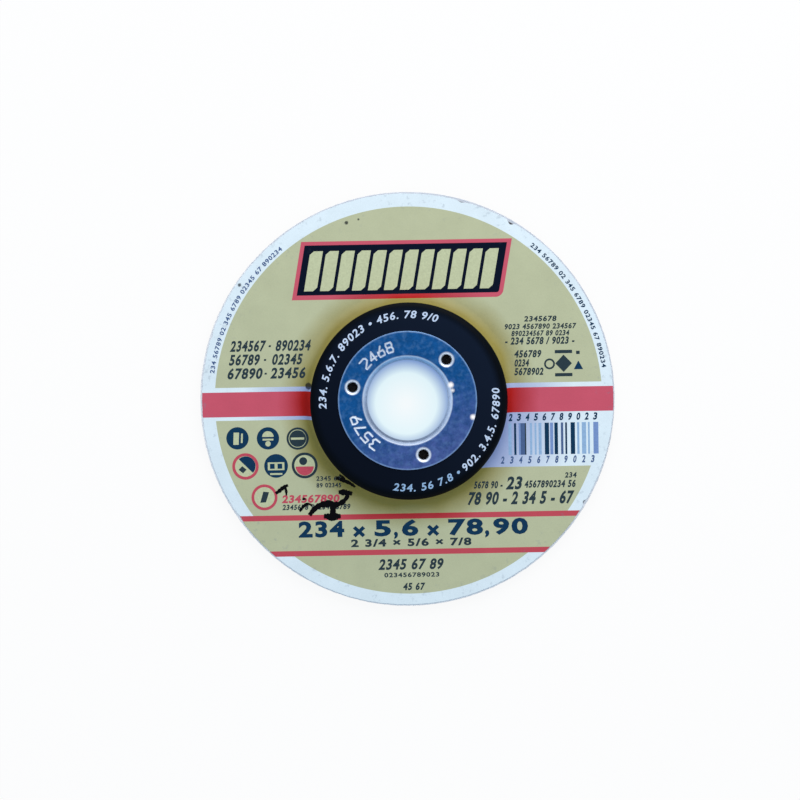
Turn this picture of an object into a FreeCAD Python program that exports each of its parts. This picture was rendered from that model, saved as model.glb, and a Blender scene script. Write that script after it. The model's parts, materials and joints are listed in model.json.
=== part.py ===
# Depressed-centre abrasive disc: a hot-pressed body with a raised hub, a printed
# label on its back face, and a pressed steel ring that lines the bore.
#
# Frame: the origin is on the axis in the plane of the front (grinding) face,
# +Z runs along the axis towards the raised hub and the label. Millimetres.

import FreeCAD, Part

import math
import os

from FreeCAD import Vector

# Disc
disc_radius = 57.5
body_thickness = 3.0
rim_bevel = 0.25

# Raised hub, measured on the back of the body, under the label
hub_rise = 4.6
hub_radius = 26.6
flank_angle = math.radians(65)
shoulder_radius = 2.0
root_radius = 3.2

# Recess under the hub, which takes the clamping nut
recess_corner_radius = 1.0
mouth_radius = 4.0

# A rounding is drawn as equal chords that turn by no more than this, three to a right angle.
# Layers that lie on each other have the same chords, so they keep their distance.
chord_turn = math.radians(31)

# Two roundings that meet on a short wall leave at least this much of it straight
least_straight = 0.05

# Bore ring, pressed from one sheet. Its bends are measured under the sheet.
bore_radius = 11.115
sheet_thickness = 0.4
bore_bend_inside = 1.3

# Anchor necks, pierced and drawn down from the flange
anchor_count = 3
anchor_first_angle = 45.5
anchor_radius = 1.3
anchor_bend_inside = 0.6
anchor_depth = 1.7
anchor_floor_gap = 0.2

# Flat strips of the flange on either side of an anchor's bend
inner_strip = 0.4
outer_strip = 1.285

# Clearance between the ring's necks and the holes that they stand in
neck_clearance = 0.05

# Label
label_thickness = 0.2
label_inset = 0.35

# Places that follow from the sizes above
hub_floor = hub_rise
hub_top = hub_rise + body_thickness
flange_seat = hub_top + label_thickness
flange_top = flange_seat + sheet_thickness
bore_flat_from = bore_radius + sheet_thickness + bore_bend_inside
anchor_flat_from = anchor_radius + sheet_thickness + anchor_bend_inside
anchor_circle_radius = bore_flat_from + inner_strip + anchor_flat_from
flange_radius = anchor_circle_radius + anchor_flat_from + outer_strip


def rounding_points(corner, to_before, to_after, radius):
    """Points on the arc that rounds a corner, from its first tangent point to its last."""
    half_angle = to_before.getAngle(to_after) / 2
    centre = corner + (to_before + to_after).normalize() * (radius / math.sin(half_angle))
    reach = radius / math.tan(half_angle)
    first = corner + to_before * reach - centre
    last = corner + to_after * reach - centre
    turn = math.pi - 2 * half_angle
    chords = math.ceil(turn / chord_turn)
    for i in range(chords + 1):
        passed = turn * i / chords
        yield centre + (first * math.sin(turn - passed) + last * math.sin(passed)) / math.sin(turn)


def turned(corners):
    """The solid that a closed outline sweeps round the Z axis.

    Each corner is (radius from the axis, height, rounding). Roundings that want more
    than the straight between them shrink until they fit it.
    """
    count = len(corners)
    points = [Vector(radius, 0, height) for radius, height, rounding in corners]
    ahead = [points[(i + 1) % count] - points[i] for i in range(count)]
    reaches = []
    for i, (radius, height, rounding) in enumerate(corners):
        angle = math.pi - ahead[i - 1].getAngle(ahead[i])
        reaches.append(rounding / math.tan(angle / 2))

    fits = []
    for i in range(count):
        wanted = reaches[i] + reaches[(i + 1) % count]
        fits.append(min(1, (ahead[i].Length - least_straight) / wanted) if wanted else 1)

    outline = []
    for i, (radius, height, rounding) in enumerate(corners):
        if rounding:
            to_before = (-ahead[i - 1]).normalize()
            to_after = Vector(ahead[i]).normalize()
            fitted = rounding * min(fits[i - 1], fits[i])
            outline.extend(rounding_points(points[i], to_before, to_after, fitted))
        else:
            outline.append(points[i])

    face = Part.Face(Part.makePolygon(outline + outline[:1]))
    return face.revolve(Vector(0, 0, 0), Vector(0, 0, 1), 360)


def flank_corners(height):
    """Where the flank meets the hub and the brim, on the surface lying this far above the body's back.

    The surface is offset square to itself, so a layer between two heights has one thickness.
    """
    shift = height * (1 - math.cos(flank_angle)) / math.sin(flank_angle)
    run = hub_rise / math.tan(flank_angle)
    hub_corner = (hub_radius + shift, hub_top + height)
    brim_corner = (hub_radius + shift + run, body_thickness + height)
    return hub_corner, brim_corner


def anchor_centres():
    """The anchors' places round the axis."""
    for i in range(anchor_count):
        angle = math.radians(anchor_first_angle + 360 * i / anchor_count)
        yield Vector(anchor_circle_radius * math.cos(angle), anchor_circle_radius * math.sin(angle), 0)


def pressed_neck(hole_radius, bend_inside, bottom, outer_radius):
    """A neck drawn down out of flat sheet, with its bend and the sheet out to a radius."""
    neck_radius = hole_radius + sheet_thickness
    return turned([
        (hole_radius, bottom, 0),
        (hole_radius, flange_top, bend_inside + sheet_thickness),
        (outer_radius, flange_top, 0),
        (outer_radius, flange_seat, 0),
        (neck_radius, flange_seat, bend_inside),
        (neck_radius, bottom, 0),
    ])


def neck_relief(hole_radius, bend_inside, bottom):
    """The room that a neck needs in the body, with a countersunk mouth under the neck's bend."""
    neck_radius = hole_radius + sheet_thickness
    wall_radius = neck_radius + neck_clearance
    sink_radius = neck_radius + bend_inside
    return turned([
        (0, bottom, 0),
        (wall_radius, bottom, 0),
        (wall_radius, flange_seat - bend_inside, 0),
        (sink_radius, flange_seat - neck_clearance, 0),
        (sink_radius, flange_top, 0),
        (0, flange_top, 0),
    ])


def make_abrasive_body():
    hub_corner, brim_corner = flank_corners(0)
    floor_corner, front_corner = flank_corners(-body_thickness)
    body = turned([
        (0, hub_top, 0),
        (*hub_corner, shoulder_radius),
        (*brim_corner, root_radius),
        (disc_radius - rim_bevel, body_thickness, 0),
        (disc_radius, body_thickness - rim_bevel, 0),
        (disc_radius, rim_bevel, 0),
        (disc_radius - rim_bevel, 0, 0),
        (*front_corner, mouth_radius),
        (*floor_corner, recess_corner_radius),
        (0, hub_floor, 0),
    ])
    body = body.cut(neck_relief(bore_radius, bore_bend_inside, hub_floor))
    pocket_bottom = flange_top - anchor_depth - anchor_floor_gap
    pocket = neck_relief(anchor_radius, anchor_bend_inside, pocket_bottom)
    for centre in anchor_centres():
        body = body.cut(pocket.translated(centre))
    return body


def make_label():
    under_hub, under_brim = flank_corners(0)
    over_hub, over_brim = flank_corners(label_thickness)
    hole_radius = bore_flat_from + neck_clearance
    label_radius = disc_radius - label_inset
    label = turned([
        (hole_radius, hub_top, 0),
        (hole_radius, flange_seat, 0),
        (*over_hub, shoulder_radius + label_thickness),
        (*over_brim, root_radius - label_thickness),
        (label_radius, body_thickness + label_thickness, 0),
        (label_radius, body_thickness, 0),
        (*under_brim, root_radius),
        (*under_hub, shoulder_radius),
    ])
    for centre in anchor_centres():
        hole = Part.makeCylinder(anchor_flat_from + neck_clearance, label_thickness, centre + Vector(0, 0, hub_top))
        label = label.cut(hole)
    return label


def make_bore_ring():
    ring = pressed_neck(bore_radius, bore_bend_inside, hub_floor, flange_radius)
    collar_radius = anchor_flat_from + inner_strip / 2
    anchor = pressed_neck(anchor_radius, anchor_bend_inside, flange_top - anchor_depth, collar_radius)
    blank = Part.makeCylinder(collar_radius, sheet_thickness)
    for centre in anchor_centres():
        ring = ring.cut(blank.translated(centre + Vector(0, 0, flange_seat)))
        ring = ring.fuse(anchor.translated(centre))
    return ring.removeSplitter()


def single_solid(shape):
    """The one solid that a boolean's result holds."""
    if len(shape.Solids) != 1:
        raise ValueError(f"expected one solid, got {len(shape.Solids)}")
    return shape.Solids[0]


def main():
    os.makedirs("parts", exist_ok=True)
    pieces = {
        "abrasive_body": make_abrasive_body(),
        "label": make_label(),
        "bore_ring": make_bore_ring(),
    }
    for name, shape in pieces.items():
        solid = single_solid(shape)
        solid.exportStep(f"parts/{name}.step")
        print(f"{name}: {solid.Volume:.1f} mm3, valid {solid.isValid()}, faces {len(solid.Faces)}")


main()
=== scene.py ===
import json
import math

import bpy
import numpy as np
from mathutils import Matrix, Vector


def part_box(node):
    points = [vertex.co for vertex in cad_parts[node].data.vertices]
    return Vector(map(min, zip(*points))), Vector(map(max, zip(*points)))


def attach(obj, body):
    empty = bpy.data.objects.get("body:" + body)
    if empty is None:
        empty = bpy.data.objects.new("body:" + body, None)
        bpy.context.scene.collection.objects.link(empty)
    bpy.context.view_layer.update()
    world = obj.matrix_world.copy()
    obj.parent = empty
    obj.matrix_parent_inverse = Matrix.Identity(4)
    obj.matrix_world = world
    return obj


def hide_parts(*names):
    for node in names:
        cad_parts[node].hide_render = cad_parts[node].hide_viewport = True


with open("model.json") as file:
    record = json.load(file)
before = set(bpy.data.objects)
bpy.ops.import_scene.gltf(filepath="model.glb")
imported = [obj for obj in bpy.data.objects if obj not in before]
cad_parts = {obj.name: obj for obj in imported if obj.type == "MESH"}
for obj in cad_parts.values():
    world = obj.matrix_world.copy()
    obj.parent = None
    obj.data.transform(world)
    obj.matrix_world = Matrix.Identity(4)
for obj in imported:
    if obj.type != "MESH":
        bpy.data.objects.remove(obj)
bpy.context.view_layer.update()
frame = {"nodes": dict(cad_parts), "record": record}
print("frame: nodes", sorted(frame["nodes"]))

mm = 0.001  # everything below is worked out in millimetres, and Blender gets metres

# Sizes that the frame gives
cadNodes = ("abrasive_body", "label", "bore_ring")
bodyBox, labelBox, ringBox = (np.array(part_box(node)) / mm for node in cadNodes)
discRadius = bodyBox[1, 0]
hubTop = bodyBox[1, 2]
brimTop = labelBox[0, 2]
labelRadius = labelBox[1, 0]
labelTop = labelBox[1, 2]
labelThickness = labelTop - hubTop
recessFloor = ringBox[0, 2]
flangeTop = ringBox[1, 2]
flangeRadius = ringBox[1, 0]
bodyThickness = hubTop - recessFloor
boreRadius = next(m["dims"]["r_mm"] for m in frame["record"]["mounts"] if m["name"] == "bore")

# Form of the dish, as the solids have it
dish = {
    "hubRadius": 26.6,  # where hub and flank would meet on the body's back
    "flankAngle": math.radians(65),
    "shoulder": 2.0,
    "root": 3.2,
    "recessCorner": 1.0,
    "mouth": 4.0,
    "rimBevel": 0.14,
}

# Form of the pressed ring
sheet = {
    "thickness": 0.4,
    "boreBend": 1.3,  # under the sheet
    "anchorBend": 0.6,
    "anchorRadius": 1.3,
    "anchorDepth": 1.7,
    "anchorFloorGap": 0.2,
    "innerStrip": 0.4,
    "clearance": 0.05,
    "edgeRound": 0.12,
    "underRound": 0.05,
}
anchors = {  # the first one's angle, and half the angle of each one's sector
    "count": 3, "first": math.radians(45.5), "half": math.radians(11.5), "steps": 36, "plainSteps": 204,
}

flangeSeat = flangeTop - sheet["thickness"]
boreFlat = boreRadius + sheet["thickness"] + sheet["boreBend"]
anchorFlat = sheet["anchorRadius"] + sheet["thickness"] + sheet["anchorBend"]
anchorCircle = boreFlat + sheet["innerStrip"] + anchorFlat
bandOuter = anchorCircle + anchorFlat + sheet["innerStrip"]  # where the anchors' band ends on label and body
thirdTurn = 2 * math.pi / anchors["count"]


# Height of a dished surface over the front face at a radius: flat hub, an arc down to a straight
# flank, an arc out to the flat brim. It lies `above` over the body's back, offset square to itself.
def dishMarks(above, shoulder, root):
    slope = dish["flankAngle"]
    top, low = hubTop + above, brimTop + above
    hub = dish["hubRadius"] + above * math.tan(slope / 2)
    brim = hub + (top - low) / math.tan(slope)
    shoulderFrom = hub - shoulder * math.tan(slope / 2)
    rootTo = brim + root * math.tan(slope / 2)
    return {
        "top": top, "low": low, "hub": hub, "shoulderFrom": shoulderFrom, "rootTo": rootTo,
        "flankFrom": shoulderFrom + shoulder * math.sin(slope), "flankTo": rootTo - root * math.sin(slope),
        "shoulder": shoulder, "root": root,
    }


def dishHeight(radius, m):
    fall = np.sqrt(np.clip(m["shoulder"] ** 2 - (radius - m["shoulderFrom"]) ** 2, 0, None))
    rise = np.sqrt(np.clip(m["root"] ** 2 - (m["rootTo"] - radius) ** 2, 0, None))
    zones = [radius < m[mark] for mark in ("shoulderFrom", "flankFrom", "flankTo", "rootTo")]
    heights = [
        m["top"] + 0 * radius,
        m["top"] - m["shoulder"] + fall,
        m["top"] - (radius - m["hub"]) * math.tan(dish["flankAngle"]),
        m["low"] + m["root"] - rise,
    ]
    return np.select(zones, heights, m["low"])


# Radii at which a dished surface gets its rows: even in angle on the arcs, even in length elsewhere
def dishRadii(start, end, m, rows):
    turn = dish["flankAngle"]
    shoulder = m["shoulderFrom"] + m["shoulder"] * np.sin(np.linspace(0, turn, rows["arc"] + 1))
    root = m["rootTo"] - m["root"] * np.sin(np.linspace(turn, 0, rows["arc"] + 1))
    return np.concatenate([
        np.linspace(start, shoulder[0], rows["hub"] + 1)[:-1],
        shoulder[:-1],
        np.linspace(shoulder[-1], root[0], rows["flank"] + 1)[:-1],
        root[:-1],
        np.linspace(root[-1], end, rows["brim"] + 1),
    ])


labelMarks = dishMarks(labelThickness, dish["shoulder"] + labelThickness, dish["root"] - labelThickness)
backMarks = dishMarks(0, dish["shoulder"], dish["root"])
frontMarks = dishMarks(-bodyThickness, dish["recessCorner"], dish["mouth"])


# Angles of every grid round the axis: each third has an anchor's sector and then a plain one
def spread(index, start, end, steps):
    return anchors["first"] + index * thirdTurn + np.linspace(start, end, steps + 1)


def sectorAngles(index):
    return spread(index, -anchors["half"], anchors["half"], anchors["steps"])


def plainAngles(index):
    return spread(index, anchors["half"], thirdTurn - anchors["half"], anchors["plainSteps"])


roundAngles = np.concatenate([
    part[:-1] for index in range(anchors["count"]) for part in (sectorAngles(index), plainAngles(index))
])


# Points of the plane at a distance and an angle: x = d cos a, y = d sin a
def polar(distance, angle):
    return np.stack([distance * np.cos(angle), distance * np.sin(angle)], -1)


# Points of the plane, in any arrangement, at one height or at a height for each
def raised(flat, height):
    flat = np.reshape(flat, (-1, 2))
    return np.column_stack([flat, np.broadcast_to(height, len(flat))])


def eased(t):  # from 0 to 1 and level at both: 3 t^2 - 2 t^3
    return t * t * (3 - 2 * t)


# Quads of a grid of points that is stored row by row. They face row direction x column direction.
def gridFaces(rows, columns, closed=False):
    i = np.arange(rows - 1)[:, None] * columns
    j = np.arange(columns if closed else columns - 1)[None, :]
    after = (j + 1) % columns
    return np.stack([i + j, i + columns + j, i + columns + after, i + after], -1).reshape(-1, 4)


# Profile (distance, height) turned about an upright axis: x = cx + d cos a, y = cy + d sin a, z = h.
# The profile runs up a bore, outward on top, down the outside and inward below, so faces point out.
# Each of its points may have a brightness, which the finish reads as painted highlight.
def turned(distance, height, angles=roundAngles, centre=(0, 0), bright=0):
    d = np.asarray(distance, float)
    flat = centre + polar(d if d.ndim == 2 else d[:, None], angles)
    rows, columns = flat.shape[:2]
    glow = np.repeat(np.broadcast_to(bright, rows), columns)
    return raised(flat, np.repeat(height, columns)), gridFaces(rows, columns, closed=True), glow


# Part of a circle from one angle to another, in degrees, as distances and heights
def arcLine(centre, radius, start, end, steps):
    return (centre + polar(radius, np.radians(np.linspace(start, end, steps + 1)))).T


def anchorCentre(index):
    return polar(anchorCircle, anchors["first"] + index * thirdTurn)


# Edge of an anchor's sector of a band, walked counter-clockwise, and each point's bearing from the
# anchor. A band is its inner radius, its outer radius and its rows.
def sectorLoop(index, inner, outer, rows):
    angle, radius = sectorAngles(index), np.linspace(inner, outer, rows + 1)
    walk = [(radius[:-1], angle[0]), (outer, angle[:-1]), (radius[:0:-1], angle[-1]), (inner, angle[:0:-1])]
    points = np.concatenate([polar(*leg) for leg in walk])
    offset = points - anchorCentre(index)
    return points, np.arctan2(offset[:, 1], offset[:, 0])


# Profile turned about each anchor, with a point for each one on the edge of the anchor's sector
def atAnchors(distance, height, band, bright=0):
    return [
        turned(distance, height, sectorLoop(index, *band)[1], anchorCentre(index), bright)
        for index in range(anchors["count"])
    ]


# Flat band with a round hole at each anchor. A plain sector is a polar grid, which a relief may lower.
# An anchor's sector blends from its hole to its edge: p = (1 - t) hole + t edge.
def holedBand(band, hole, height, rings, relief=None, below=False):
    inner, outer, rows = band
    radius = np.linspace(inner, outer, rows + 1)[:, None]
    share = np.linspace(0, 1, rings + 1)[:, None, None]
    parts = []
    for index in range(anchors["count"]):
        flat = polar(radius, plainAngles(index))
        sunk, shine = relief(flat.reshape(-1, 2)) if relief else np.zeros((2, flat.size // 2))
        parts.append((raised(flat, height - sunk), gridFaces(*flat.shape[:2]), shine))

        edge, bearing = sectorLoop(index, *band)
        rim = anchorCentre(index) + polar(hole, bearing)
        points = raised((1 - share) * rim + share * edge, height)
        parts.append((points, gridFaces(rings + 1, len(edge), closed=True), np.zeros(len(points))))
    if below:
        parts = [(points, faces[:, ::-1], glow) for points, faces, glow in parts]
    return parts


# One array of points and faces from several, with points in the same place made one
def weld(parts):
    step = 0.0002
    starts = np.cumsum([0] + [len(p[0]) for p in parts])
    points = np.concatenate([p[0] for p in parts])
    glow = np.concatenate([p[2] for p in parts])
    keys = np.round(points / step).astype(np.int64)
    kept, inverse = np.unique(keys, axis=0, return_index=True, return_inverse=True)[1:]
    faces = [inverse.ravel()[p[1] + start] for p, start in zip(parts, starts)]
    return points[kept], faces, glow[kept]


crease = math.radians(40)  # edges that turn by more than this stay sharp


# Mesh object from points in millimetres and arrays of faces of any size. It may stand for a CAD node.
def makePiece(name, points, faces, finish, slot, node=None, smooth=True, glow=None):
    mesh = bpy.data.meshes.new(name)
    mesh.from_pydata((points * mm).tolist(), [], [face for part in faces for face in part.tolist()])
    mesh.validate()
    mesh.polygons.foreach_set("use_smooth", np.full(len(mesh.polygons), smooth))
    if smooth:
        mesh.set_sharp_from_angle(angle=crease)
    if glow is not None:
        mesh.attributes.new("bright", "FLOAT", "POINT").data.foreach_set("value", glow.astype(np.float32))
    mesh.materials.append(finish)
    piece = bpy.data.objects.new(name, mesh)
    bpy.context.scene.collection.objects.link(piece)
    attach(piece, "root")
    if node:
        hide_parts(node)
    print(f"{name}: {len(mesh.polygons)} faces")


# Random values on a cubic lattice of this spacing, blended between the eight that are nearest
def latticeNoise(points, spacing, seed):
    size = 48
    table = np.random.default_rng(seed).random((size, size, size))
    place = points / spacing
    base = np.floor(place).astype(int)
    t = eased(place - base)
    total = np.zeros(len(points))
    for corner in np.ndindex(2, 2, 2):
        weight = np.prod(np.where(corner, t, 1 - t), axis=1)
        cell = (base + corner) % size
        total += weight * table[cell[:, 0], cell[:, 1], cell[:, 2]]
    return total


# Shader values that plain operators work on
class Value:
    def __init__(self, nodes, socket):
        self.nodes, self.socket = nodes, socket

    def math(self, operation, *others, clamp=False):
        return self.nodes.node("Math", {"operation": operation, "use_clamp": clamp}, self, *others)

    def __add__(self, other):
        return self.math("ADD", other)

    def __sub__(self, other):
        return self.math("SUBTRACT", other)

    def __rsub__(self, other):
        return self.math("MULTIPLY_ADD", -1, other)

    def __mul__(self, other):
        return self.math("MULTIPLY", other)

    def __neg__(self):
        return self.math("MULTIPLY", -1)

    def __abs__(self):
        return self.math("ABSOLUTE")

    __radd__, __rmul__ = __add__, __mul__


# Nodes of a material or of the world
class Nodes:
    def __init__(self, owner):
        owner.use_nodes = True
        self.tree = owner.node_tree

    def feed(self, socket, value):
        if isinstance(value, Value):
            self.tree.links.new(value.socket, socket)
        else:
            socket.default_value = value

    def node(self, kind, settings, *values, output=0, **named):
        made = self.tree.nodes.new("ShaderNode" + kind)
        for key, setting in settings.items():
            setattr(made, key, setting)
        for socket, value in [*enumerate(values), *named.items()]:
            self.feed(made.inputs[socket], value)
        return Value(self, made.outputs[output])

    # One shader to light the object, and another for what the camera, metal and glass see
    def show(self, output, lit, seen, share=1.0):
        factor = 0
        for ray in ("Camera", "Glossy", "Transmission"):
            factor = self.node("LightPath", {}, output=f"Is {ray} Ray").math("MAXIMUM", factor)
        mixed = self.node("MixShader", {}, factor * share, lit, seen)
        self.feed(self.tree.nodes[output].inputs["Surface"], mixed)


# One material, and the place on the object in millimetres
class Finish(Nodes):
    def __init__(self, name):
        self.material = bpy.data.materials.new(name)
        super().__init__(self.material)
        self.shader = self.tree.nodes["Principled BSDF"]
        metres = self.node("TexCoord", {}, output="Object")
        self.place = self.node("VectorMath", {"operation": "SCALE"}, metres, Scale=1 / mm)
        self.x, self.y, self.z = (self.axis(self.place, letter) for letter in "XYZ")

    def axis(self, vector, letter):
        return self.node("SeparateXYZ", {}, vector, output=letter)

    def away(self, x=0, y=0):  # distance from a place, seen from above
        dx, dy = self.x - x, self.y - y
        return (dx * dx + dy * dy).math("SQRT")

    def noise(self, spacing, detail=2):  # spacing in millimetres
        return self.node("TexNoise", {}, self.place, Scale=1 / spacing, Detail=detail)

    def patches(self, spacing, detail, edge, soft):
        return over(self.noise(spacing, detail), edge, soft)

    def mix(self, factor, first, second):  # of two colours
        made = self.node("Mix", {"data_type": "RGBA"}, factor, output=2)
        for socket, value in zip(made.socket.node.inputs[6:8], (first, second)):
            self.feed(socket, value)
        return made

    def tint(self, shade, factor):  # colour made lighter or darker by a value round 1
        shade = shade if isinstance(shade, Value) else shade[:3]
        return self.node("VectorMath", {"operation": "SCALE"}, shade, Scale=factor)

    def paint(self, share, shade):  # lays a colour over the one so far
        self.base = self.mix(share, self.base, shade)

    def set(self, **values):  # shader sockets, by name with underscores for spaces
        for name, value in values.items():
            self.feed(self.shader.inputs[name.replace("_", " ")], value)

    def bump(self, height, distance, strength):  # distance in millimetres
        self.set(Normal=self.node("Bump", {}, Height=height, Distance=distance * mm, Strength=strength))


def over(value, edge, soft=0.06):  # 0 below an edge and 1 above it
    return value.math("MULTIPLY_ADD", 1 / soft, 0.5 - edge / soft, clamp=True)


def between(value, low, high, soft=0.06):
    return over(value, low, soft) - over(value, high, soft)


def colour(red, green, blue):  # as an eye-dropper reads it, 0 to 255, turned linear
    bytes8 = np.array([red, green, blue]) / 255
    linear = np.where(bytes8 <= 0.04045, bytes8 / 12.92, ((bytes8 + 0.055) / 1.055) ** 2.4)
    return (*linear.tolist(), 1.0)


plainWhite = (1, 1, 1, 1)

# Abrasive body

grit = {
    "black": colour(26, 27, 31),
    "grey": colour(74, 76, 82),
    "resin": colour(58, 48, 42),
    "fibre": colour(150, 144, 122),
    # The rim's pale dust: the first colour is painted lighter for the lower left and the second darker for
    # the top, as painted light and shade
    "dust": colour(250, 252, 255),
    "dustTop": colour(206, 212, 221),
    # near black, painted shade in the anchors' pockets and on the hub's back under the ring
    "pocket": colour(5, 5, 7),
    "grain": 0.75,  # spacing of the grains
    "relief": 0.16,  # deepest pit between them
    "greyFrom": (0.62, 0.5),  # edge and softness, as in every other "From" and "To" that has two values
    "resinFrom": (0.5, 0.35),
    "resinShare": 0.7,
    "flatFrom": (0.8, 0.2),  # of the upright part of a face's normal
    "seeds": (3, 4),
    "backRows": {"hub": 3, "arc": 4, "flank": 2, "brim": 5},
    "frontRows": {"hub": 20, "arc": 7, "flank": 3, "brim": 48},
    "pocketCap": 0.4,  # radius of the one face in the middle of a pocket's floor
    "glueLine": 0.02,
    "netPitch": 5.2,
    "netWidth": 1.3,
    "netSway": (14.0, 1.6),  # spacing and width
    "netPatches": (2.2, 3, 0.44, 0.3),  # spacing, detail, edge, softness
    "netShare": 0.55,
    "endLevels": (0.55, 1.5, 2.45),  # cut ends of the nets in the rim
    "endHeight": 0.28,
    "endPatches": (1.1, 2, 0.5, 0.12),
    "endBand": 0.6,
    "endShare": 0.7,
    "dustCloud": (3.0, 4),  # spacing and detail
    "dustShare": 0.84,
    "dustBand": 0.5,
    "dustDepth": 0.45,
    "pocketTo": 0.6,
    "smoothFrom": 1.2,  # the back has no pits farther in from the rim than this
}


def gritFinish():
    f = Finish("gritFinish")
    c = grit
    cells = {"Scale": 1 / c["grain"], "Randomness": 1.0}
    distance = f.node("TexVoronoi", {}, f.place, output="Distance", **cells)
    shade = f.axis(f.node("TexVoronoi", {}, f.place, output="Color", **cells), "X")
    dust = f.noise(*c["dustCloud"])
    f.base = f.mix(over(shade, *c["greyFrom"]), c["black"], c["grey"])
    f.paint(over(distance, *c["resinFrom"]) * c["resinShare"], c["resin"])

    # Glass net under the resin, on the faces that lie flat
    flat = over(abs(f.axis(f.node("NewGeometry", {}, output="Normal"), "Z")), *c["flatFrom"])
    spacing, width = c["netSway"]
    strands = 0
    for across in (f.x, f.y):
        wave = (across + f.noise(spacing, 1) * width).math("PINGPONG", c["netPitch"] / 2)
        strands = (1 - over(wave, c["netWidth"] / 2, 0.5)).math("MAXIMUM", strands)
    net = strands * flat * f.patches(*c["netPatches"])
    f.paint(net * c["netShare"], c["fibre"])

    # Cut ends of the nets in the rim
    radius = f.away()
    rim = over(radius, discRadius - c["endBand"], 0.2) * (1 - flat)
    for level in c["endLevels"]:
        ends = between(f.z + f.noise(6.0, 1) * 0.3, level, level + c["endHeight"], 0.1)
        ends = ends * f.patches(*c["endPatches"])
        f.paint(ends * rim * c["endShare"], c["fibre"])

    # Pale dust on the upper edge of the rim, painted lighter towards the lower left and darker towards the
    # top as painted light and shade; and painted shade, near black, in the anchors' band and pockets under
    # the ring
    edge = over(radius, labelRadius - c["dustBand"], 0.3) * over(f.z, brimTop - c["dustDepth"], 0.3)
    pale = f.mix(over(f.x * 0.5 + f.y * 0.86, 0.0, 80.0), c["dust"], c["dustTop"])
    f.base = f.tint(f.base, 0.75 + dust * 0.5)
    f.paint(edge * (c["dustShare"] + dust * 0.2), pale)
    # Painted shade in the anchors' pockets and under the ring
    f.paint(between(radius, boreFlat, bandOuter) * over(f.z, recessFloor + c["pocketTo"], 0.3), c["pocket"])
    f.set(Base_Color=f.base, Roughness=0.45 + distance * 0.35 + dust * 0.2, Specular_IOR_Level=0.15)
    f.bump((1 - distance) + f.noise(0.22, 2) * 0.5 + net * 0.5, 0.12, 0.8)
    return f.material


def makeBody():
    back, hubBack = (level - grit["glueLine"] for level in (backMarks["low"], hubTop))
    bevel, rimFrom = dish["rimBevel"], discRadius - grit["smoothFrom"]
    start = boreRadius + sheet["thickness"] + sheet["clearance"]
    bendLevel = flangeSeat - sheet["boreBend"]
    mouth = start + hubBack - bendLevel
    outward = dishRadii(bandOuter, rimFrom, backMarks, grit["backRows"])
    inward = dishRadii(start, discRadius - bevel, frontMarks, grit["frontRows"])[::-1]
    # Radii, heights and shares of the pits' depth, from the hub's back round the rim to the bore
    profile = [
        (outward, dishHeight(outward, backMarks) - grit["glueLine"], 0),
        (np.linspace(rimFrom, discRadius - bevel, 6)[1:], back, np.linspace(0, 0.4, 5)),
        (discRadius, np.linspace(back - bevel, bevel, 11), 1),
        (inward, dishHeight(inward, frontMarks), np.append(np.ones(len(inward) - 2), [0, 0])),
        ([start, start, mouth], [(recessFloor + bendLevel) / 2, bendLevel, hubBack], 0),
    ]
    d, h, amount = np.concatenate([np.stack(np.broadcast_arrays(*part)) for part in profile], 1)
    points, faces, glow = turned(d, h)

    # Pits go into the material: straight down the surface's normal, never out of the disc's own form
    run, climb = np.gradient(d), np.gradient(h)
    length, columns = np.hypot(run, climb), len(roundAngles)
    coarse = latticeNoise(points, grit["grain"], grit["seeds"][0])
    fine = latticeNoise(points, grit["grain"] / 2, grit["seeds"][1])
    pit = grit["relief"] * np.clip(0.75 * coarse + 0.35 * fine - 0.1, 0, 1) * np.repeat(amount, columns)
    normal = raised(polar((-climb / length)[:, None], roundAngles), np.repeat(run / length, columns))
    parts = [(points - pit[:, None] * normal, faces, glow)]

    # Back of the hub with the three pockets
    wall = sheet["anchorRadius"] + sheet["thickness"] + sheet["clearance"]
    floor = flangeTop - sheet["anchorDepth"] - sheet["anchorFloorGap"]
    bend = flangeSeat - sheet["anchorBend"]
    hole = wall + hubBack - bend
    band = (mouth, bandOuter, 6)
    pockets = atAnchors([grit["pocketCap"], wall, wall, hole], [floor, floor, bend, hubBack], band)
    parts += holedBand(band, hole, hubBack, 4) + pockets
    for points, faces, glow in pockets:
        count = len(points) // 4
        parts.append((points[:count], np.arange(count)[None, :], glow[:count]))
    makePiece("abrasiveBody", *weld(parts)[:2], gritFinish(), "abrasive", "abrasive_body")


# Label

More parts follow.
